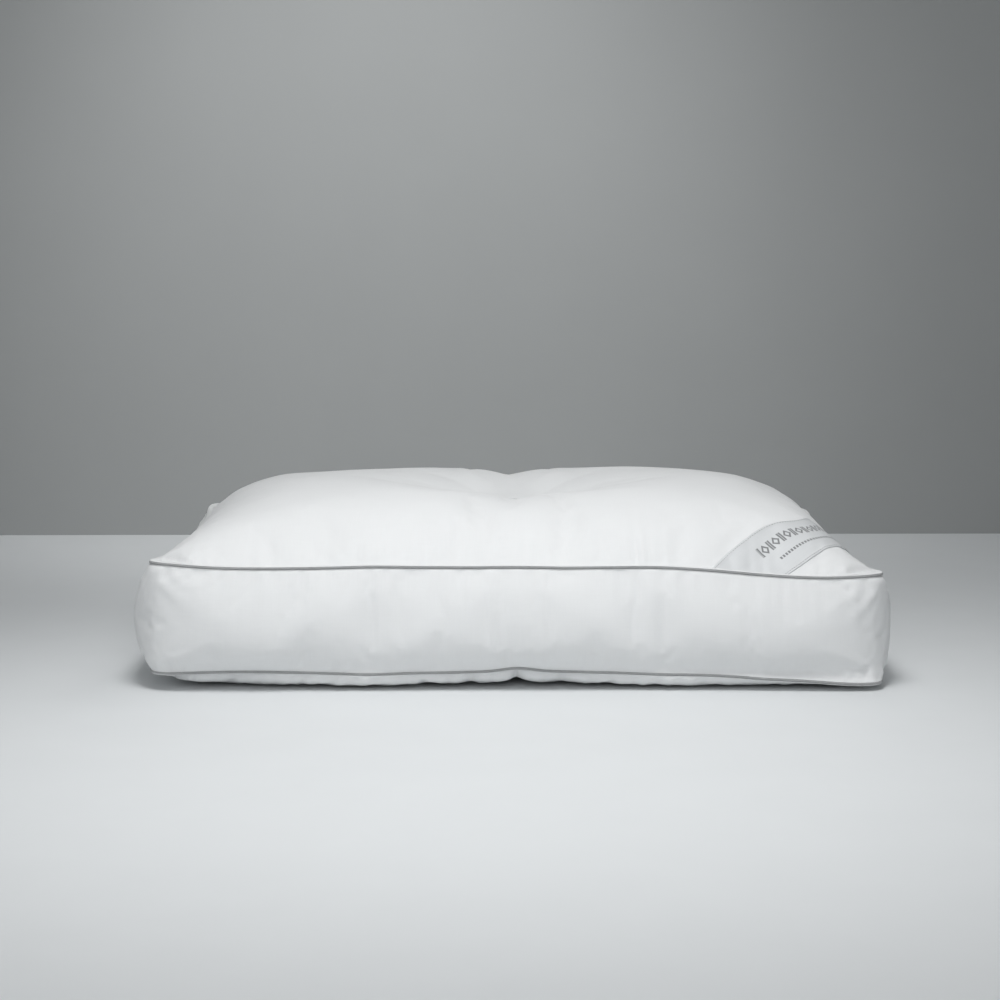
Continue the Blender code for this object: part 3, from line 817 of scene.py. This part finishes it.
top_cloth = panel_piece("top_cloth", top, TOP_LOOP, 1, percale("white_percale", WHITE))
bottom_cloth = panel_piece("bottom_cloth", bottom, BOTTOM_LOOP, -1, percale("underside_percale", SHADED_UNDERSIDE_WHITE))
side_band = band_piece("side_band", band, percale("gusset_percale", WHITE))


# ---- piping, cords and seam threads

PLY_SWELL = 0.12  # how far the plies stand out, as a share of the radius
STITCH = 0.005  # a seam stitch and the gap to the next one
CORD_PITCH = 0.004
SEAM_THREAD_IN = 0.003
SEAM_THREAD_RADIUS = 0.00016
SEAM_THREAD_PITCH = 0.001
SEAM_THREAD_RISE = 0.0009


def wound_ring(name, loop, out, up, radius, plies, pitch, sides, material, weave=0.0):
    """A cord or thread round a loop, with plies that wind round it. weave is how far it goes up and down."""
    run, length = loop_length(loop)
    turns = round(length / pitch)
    turn = 2 * math.pi * turns * run / length
    outward = loop_frame(loop)
    rise = np.zeros((len(loop), 3))
    rise[:, 2] = weave * np.sin(math.pi * 2 * round(length / STITCH) * run / length)
    rows = []
    for k in range(sides):
        angle = 2 * math.pi * k / sides
        size = radius * (1 + PLY_SWELL * np.cos(plies * angle - turn))[:, None]
        rows.append(loop + rise + outward * (out + size * math.cos(angle))
                    + np.array([0, 0, 1]) * (up + size * math.sin(angle)))
    faces = np.roll(ring_quads(sides, len(loop)), -1, axis=1)
    start = (run - run[JOIN % len(run)]) % length
    around = np.arange(sides) * 2 * math.pi * radius / sides
    coords = np.stack([np.tile(start, sides), np.repeat(around, len(loop))], axis=1)
    return add_piece(name, np.concatenate(rows), faces, material, coords)


def closer(loop, times):
    """The loop with more points on a smooth curve through it."""
    return refine(np.stack([loop, loop]), times, wrap=True)[0]


for where, loop in (("top", TOP_LOOP), ("bottom", BOTTOM_LOOP)):
    cover = ring_piece(f"{where}_piping", loop, cover_section(), bias_cloth(f"{where}_piping_cloth", PIPING_GREY))
    finish_piece(cover, f"{where}_piping_cover")
    cord = wound_ring(f"{where}_cord", loop, BEAD_OUT, BEAD_UP, CORD_RADIUS, 3, CORD_PITCH, 10,
                      twisted(f"{where}_cotton_cord", CORD_WHITE, CORD_PITCH))
    finish_piece(cord, f"{where}_piping_cord")
    thread = wound_ring(f"{where}_thread", closer(loop, 2), -SEAM_THREAD_IN, 0, SEAM_THREAD_RADIUS, 2,
                        SEAM_THREAD_PITCH, 6, twisted(f"{where}_seam_polyester", THREAD_WHITE, SEAM_THREAD_PITCH),
                        weave=SEAM_THREAD_RISE)
    finish_piece(thread, f"{where}_seam_thread")


# ---- filling and tie

FILL_GAP = 0.0025  # from the cloth
FILL_SEAM_GAP = 0.0135  # and this much more at a seam
TIE_HOLE = 0.012  # half the hole's width
HOLE_ROWS = 14


def filling(name, material):
    """The fibre block: the sewn box drawn in from its cloth and seam allowances, with a hole for the tie."""
    normals = vertex_normals(shape, QUADS)
    from_seam = np.full(len(shape), 1.0)
    half = np.minimum(CUT_LENGTH / 2 - np.abs(FLAT_X.ravel()), CUT_DEPTH / 2 - np.abs(FLAT_Y.ravel()))
    from_seam[:PANEL_SIZE] = from_seam[PANEL_SIZE:2 * PANEL_SIZE] = half
    for k, row in enumerate(BAND_INDEX[1:-1], 1):
        from_seam[row] = min(k, BAND_ROWS - 1 - k) * BAND_HEIGHT / (BAND_ROWS - 1)
    block = shape - normals * (FILL_GAP + FILL_SEAM_GAP * np.exp(-from_seam / 0.025))[:, None]
    hole = max(1, round(TIE_HOLE / CELL))
    middle_row, middle_column = ROWS // 2, COLUMNS // 2
    index = np.arange(PANEL_SIZE).reshape(ROWS, COLUMNS)
    patch = index[middle_row - hole:middle_row + hole + 1, middle_column - hole:middle_column + hole + 1]
    rim = patch.ravel()[border(*patch.shape)]
    lost, cut = (np.concatenate([part.ravel(), part.ravel() + PANEL_SIZE]) for part in (patch[1:-1, 1:-1], patch))
    faces = [QUADS[~np.isin(QUADS, cut).all(axis=1)]]
    upper, lower = block[rim], block[rim + PANEL_SIZE]
    rings = [rim]
    extra = []
    for k in range(1, HOLE_ROWS):
        share = k / HOLE_ROWS
        rings.append(len(block) + len(extra) * len(rim) + np.arange(len(rim)))
        extra.append(upper + (lower - upper) * share)
    rings.append(rim + PANEL_SIZE)
    for above, below in zip(rings[:-1], rings[1:]):
        faces.append(np.stack([above, np.roll(above, -1), np.roll(below, -1), below], axis=1))
    everything = np.concatenate([block] + extra)
    keep = np.setdiff1d(np.arange(len(everything)), lost)
    place = np.full(len(everything), -1)
    place[keep] = np.arange(len(keep))
    return add_piece(name, everything[keep], place[np.concatenate(faces)], material)


fill = filling("fibre_block", fibre("polyester_fibre", (0.80, 0.81, 0.81)))
finish_piece(fill, "fibre_fill")

tie_material = tape("cotton_tape", (0.72, 0.70, 0.64))
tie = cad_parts["centre_tie"]
for index in range(len(tie.material_slots)):
    tie.material_slots[index].material = tie_material


STITCH_SIDES = 6
STITCH_PLY = 0.0008


def tube_faces(rings):
    """Faces of a capped tube made of rings of points, one after another."""
    ends = np.array([np.arange(STITCH_SIDES)[::-1], np.arange(STITCH_SIDES) + (rings - 1) * STITCH_SIDES])
    return grid_quads(rings, STITCH_SIDES, wrap=True).tolist() + ends.tolist()


def tube(path, up, radius):
    """Points of a stitch along a path. up is a direction across it at each point; its two ends are drawn in."""
    along = np.gradient(path, axis=0)
    along /= np.linalg.norm(along, axis=1)[:, None]
    side = np.cross(along, up)
    side /= np.linalg.norm(side, axis=1)[:, None]
    over = np.cross(side, along)
    points = []
    for k in range(len(path)):
        size = radius * (0.45 if k in (0, len(path) - 1) else 1)
        for i in range(STITCH_SIDES):
            angle = 2 * math.pi * i / STITCH_SIDES
            points.append(path[k] + size * (side[k] * math.cos(angle) + over[k] * math.sin(angle)))
    return points


def stitches(name, paths, ups, radius, material):
    """Many short stitches as one piece."""
    points, faces, coords = [], [], []
    for path, up in zip(paths, ups):
        first = len(points)
        points += tube(path, up, radius)
        faces += [[first + i for i in face] for face in tube_faces(len(path))]
        run = np.concatenate([[0], np.cumsum(np.linalg.norm(np.diff(path, axis=0), axis=1))])
        coords += [(along, i * radius) for along in run for i in range(STITCH_SIDES)]
    return add_piece(name, points, faces, material, coords)


TACK_STITCHES = 13


def bar_tack(where, side):
    """The close bar of stitches that holds an end of the tape to its panel."""
    node, slot = f"{where}_tie_tack", f"{where}_tack_polyester"
    low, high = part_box(node)
    middle = (np.array(low) + np.array(high)) / 2
    length, width = high[0] - low[0], high[1] - low[1]
    paths, ups = [], []
    for k in range(TACK_STITCHES):
        x = low[0] + length * (k + 0.5) / TACK_STITCHES
        t = np.linspace(-1, 1, 5)
        rise = 0.00020 * (1 - t * t) * side
        paths.append(np.column_stack([x + 0.00022 * t, middle[1] + width / 2 * t, middle[2] + rise]))
        ups.append(np.tile([0, 0, 1.0], (5, 1)))
    piece = stitches(f"{where}_bar_tack", paths, ups, 0.00019, twisted(slot, THREAD_WHITE, STITCH_PLY))
    finish_piece(piece, node)


bar_tack("top", 1)
bar_tack("bottom", -1)


# ---- the corner label

LABEL_OUTER = 0.1232  # from the panel's cut corner to the ribbon's outer and inner edges
LABEL_INNER = 0.0675
LABEL_BOW = 0.0095  # how far the outer edge is drawn in at the middle, and at the ends
LABEL_TAPER = 0.0040
LABEL_CLOTH = 0.00035
LABEL_HEM = 0.004
LABEL_GAP = 0.00018
LABEL_INSET = 0.0009  # how far from the seams it ends
LABEL_ROW_IN = 0.0022  # from an edge to its line of stitches
LABEL_STITCH = 0.0030
LABEL_CORNER = (CUT_LENGTH / 2, -CUT_DEPTH / 2)
LABEL_WIDTH = LABEL_OUTER - LABEL_INNER
ORNAMENT_AT = LABEL_WIDTH * 0.63
ORNAMENT_HALF = 0.0058
ORNAMENT_PITCH = 0.0145
ORNAMENT_REACH = 0.066
BAR_HALF = 0.0009
DASH_AT = LABEL_WIDTH * 0.32
DASH_PITCH = 0.0036
DASH_REACH = 0.056
DASH_HALF = 0.0014

LINES_X = flat[FINE_ROWS // 2, :, 0]
LINES_Y = flat[:, FINE_COLUMNS // 2, 1]
TOP_NORMALS = vertex_normals(top.reshape(-1, 3), grid_quads(FINE_ROWS, FINE_COLUMNS)).reshape(top.shape)


def on_top(x, y, lift):
    """Points on the top panel at places on its flat cut, raised from the cloth, and the cloth's normals there."""
    def cell(value, lines):
        at = np.clip(np.searchsorted(lines, value) - 1, 0, len(lines) - 2)
        return at, np.clip((value - lines[at]) / (lines[at + 1] - lines[at]), 0, 1)[..., None]

    (i, s), (j, t) = cell(x, LINES_X), cell(y, LINES_Y)

    def mixed(grid):
        return ((grid[j, i] * (1 - s) + grid[j, i + 1] * s) * (1 - t)
                + (grid[j + 1, i] * (1 - s) + grid[j + 1, i + 1] * s) * t)

    normal = mixed(TOP_NORMALS)
    normal /= np.linalg.norm(normal, axis=-1)[..., None]
    return mixed(top) + normal * np.asarray(lift)[..., None], normal


def label_place(across, along):
    """A place on the flat cut, from the distance across the ribbon and the share along it between the seams."""
    share = across / LABEL_WIDTH
    run = 2 * along - 1
    pulled = LABEL_BOW * np.exp(-(run / 0.25) ** 2) + LABEL_TAPER * smoothstep(0.7, 1.0, np.abs(run))
    away = LABEL_INNER + across - share * pulled
    side = away * run
    x = LABEL_CORNER[0] + (side - away) / math.sqrt(2)
    y = LABEL_CORNER[1] + (side + away) / math.sqrt(2)
    return np.minimum(x, CUT_LENGTH / 2 - LABEL_INSET), np.maximum(y, -CUT_DEPTH / 2 + LABEL_INSET), side


def label_piece(material):
    """The ribbon, with its two long edges turned under."""
    edge = np.array([0, 0.0006, LABEL_HEM - 0.0006, LABEL_HEM + 0.0006])
    strips = np.concatenate([edge, np.linspace(0, LABEL_WIDTH, 34)[3:-3], LABEL_WIDTH - edge[::-1]])
    across, along = np.meshgrid(strips, np.linspace(0, 1, 130))
    from_edge = np.minimum(across, LABEL_WIDTH - across)
    hem = 1 - smoothstep(LABEL_HEM - 0.0008, LABEL_HEM + 0.0008, from_edge)
    rolled = 1 - smoothstep(0, 0.0008, from_edge)
    lift = LABEL_GAP + LABEL_CLOTH * (1 + hem - 0.5 * rolled)
    x, y, side = label_place(across, along)
    outer, normal = on_top(x, y, lift)
    inner = outer - normal * (lift - LABEL_GAP)[..., None]
    faces = grid_quads(*across.shape)
    count = across.size
    points = outer.reshape(-1, 3)
    a, b = points[faces[0, 1]] - points[faces[0, 0]], points[faces[0, 3]] - points[faces[0, 0]]
    if np.cross(a, b)[2] < 0:
        faces = faces[:, ::-1]
    faces = closed_sheet(faces, count)
    piece = add_piece("label", np.concatenate([points, inner.reshape(-1, 3)]), faces, material)
    layer = piece.data.attributes.new("label_at", "FLOAT_VECTOR", "POINT")
    at = np.column_stack([side.ravel(), across.ravel(), np.zeros(count)])
    layer.data.foreach_set("vector", np.concatenate([at, at]).astype(np.float32).ravel())
    return piece


def label_stitches(edge, across):
    """The line of stitches along one edge of the ribbon, outer or inner."""
    slot = f"{edge}_stitch_polyester"
    count = int(2 * (LABEL_INNER + across) / LABEL_STITCH)
    lift = LABEL_GAP + 2 * LABEL_CLOTH + 0.00012
    paths, ups = [], []
    for k in range(count):
        t = np.linspace(0, 1, 5)
        along = (k + 0.15 + 0.7 * t) / count
        x, y, _ = label_place(np.full(5, across), along)
        path, normal = on_top(x, y, lift - 0.00022 * (2 * t - 1) ** 2)
        paths.append(path)
        ups.append(normal)
    piece = stitches(f"label_{edge}_stitches", paths, ups, 0.00022, twisted(slot, THREAD_GREY, STITCH_PLY))
    finish_piece(piece, f"label_stitch_{edge}")
    return piece


label = label_piece(satin("silver_satin", SILVER))
finish_piece(label, "corner_label")
outer_row = label_stitches("outer", LABEL_WIDTH - LABEL_ROW_IN)
inner_row = label_stitches("inner", LABEL_ROW_IN)

finish_piece(top_cloth, "top_panel")
finish_piece(bottom_cloth, "bottom_panel")
finish_piece(side_band, "gusset_band")


# ---- studio

def board(name, corners, material):
    mesh = bpy.data.meshes.new(name)
    mesh.from_pydata(corners, [], [(0, 1, 2, 3)])
    mesh.materials.append(material)
    placed(name, mesh)


def clear_from_behind(material):
    """Lets the wall be looked through from its far side, so that the pillow can be seen from all round."""
    tree = material.node_tree
    mix = tree.nodes.new("ShaderNodeMixShader")
    tree.links.new(tree.nodes.new("ShaderNodeNewGeometry").outputs["Backfacing"], mix.inputs[0])
    tree.links.new(tree.nodes["Principled BSDF"].outputs[0], mix.inputs[1])
    tree.links.new(tree.nodes.new("ShaderNodeBsdfTransparent").outputs[0], mix.inputs[2])
    tree.links.new(mix.outputs[0], tree.nodes["Material Output"].inputs["Surface"])
    return material


WALL_Y = 0.87
board("floor", [(-3, -4, 0), (3, -4, 0), (3, WALL_Y, 0), (-3, WALL_Y, 0)],
      painted("pale_floor", (0.70, 0.72, 0.73), (0.725, 0.745, 0.755), 14.0))
board("wall", [(-3, WALL_Y, 0), (3, WALL_Y, 0), (3, WALL_Y, 3), (-3, WALL_Y, 3)],
      clear_from_behind(painted("grey_wall", (0.315, 0.325, 0.325), (0.335, 0.345, 0.345), 6.0)))


def hang(name, kind, location, target, energy, **settings):
    """A lamp at a place, aimed at another."""
    lamp = bpy.data.lights.new(name, kind)
    set_all(lamp, energy=energy, **settings)
    thing = placed(name, lamp)
    way = np.array(target, float) - np.array(location, float)
    thing.location = location
    thing.rotation_euler = (math.atan2(math.hypot(way[0], way[1]), -way[2]), 0, math.atan2(-way[0], way[1]))


def area_light(name, location, target, size, energy):
    hang(name, "AREA", location, target, energy, shape="RECTANGLE", size=size[0], size_y=size[1])


def spot_light(name, location, target, radius, cone, energy):
    """A soft-edged pool of light. cone is its full angle in degrees."""
    hang(name, "SPOT", location, target, energy, shadow_soft_size=radius, spot_size=math.radians(cone), spot_blend=1)


spot_light("key", (-0.08, -0.80, 1.60), (-0.05, -0.47, 0.0), 0.30, 61, 56)
area_light("overhead", (-0.05, -0.60, 1.35), (-0.05, -0.60, 0.0), (0.6, 0.6), 3.2)
area_light("front", (-0.3, -3.0, 1.3), (0, 0, 0.1), (2.0, 1.4), 16)
area_light("behind", (0.36, 0.30, 1.10), (0.28, 0.02, 0.0), (0.5, 0.5), 1.5)
spot_light("wall_pool", (-0.25, -0.2, 1.40), (-0.18, 0.87, 0.42), 0.20, 65, 51)

world = bpy.data.worlds.new("studio")
bpy.context.scene.world = world
world.use_nodes = True
sky = world.node_tree.nodes["Background"].inputs
sky["Color"].default_value = (0.96, 0.985, 1.0, 1)
sky["Strength"].default_value = 0.30
bpy.context.scene.view_settings.view_transform = "Standard"

lens = bpy.data.cameras.new("camera")
lens.lens = 75.12
lens.sensor_width = 36
camera = placed("camera", lens)
camera.location = (-0.0411, -2.1467, 0.3963)
camera.rotation_euler = (math.radians(90 - 6.54), 0, math.radians(-0.75))
bpy.context.scene.camera = camera

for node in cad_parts.values():
    if node.name != "centre_tie" and not node.hide_render:
        raise RuntimeError(f"{node.name} has no piece that stands for it")
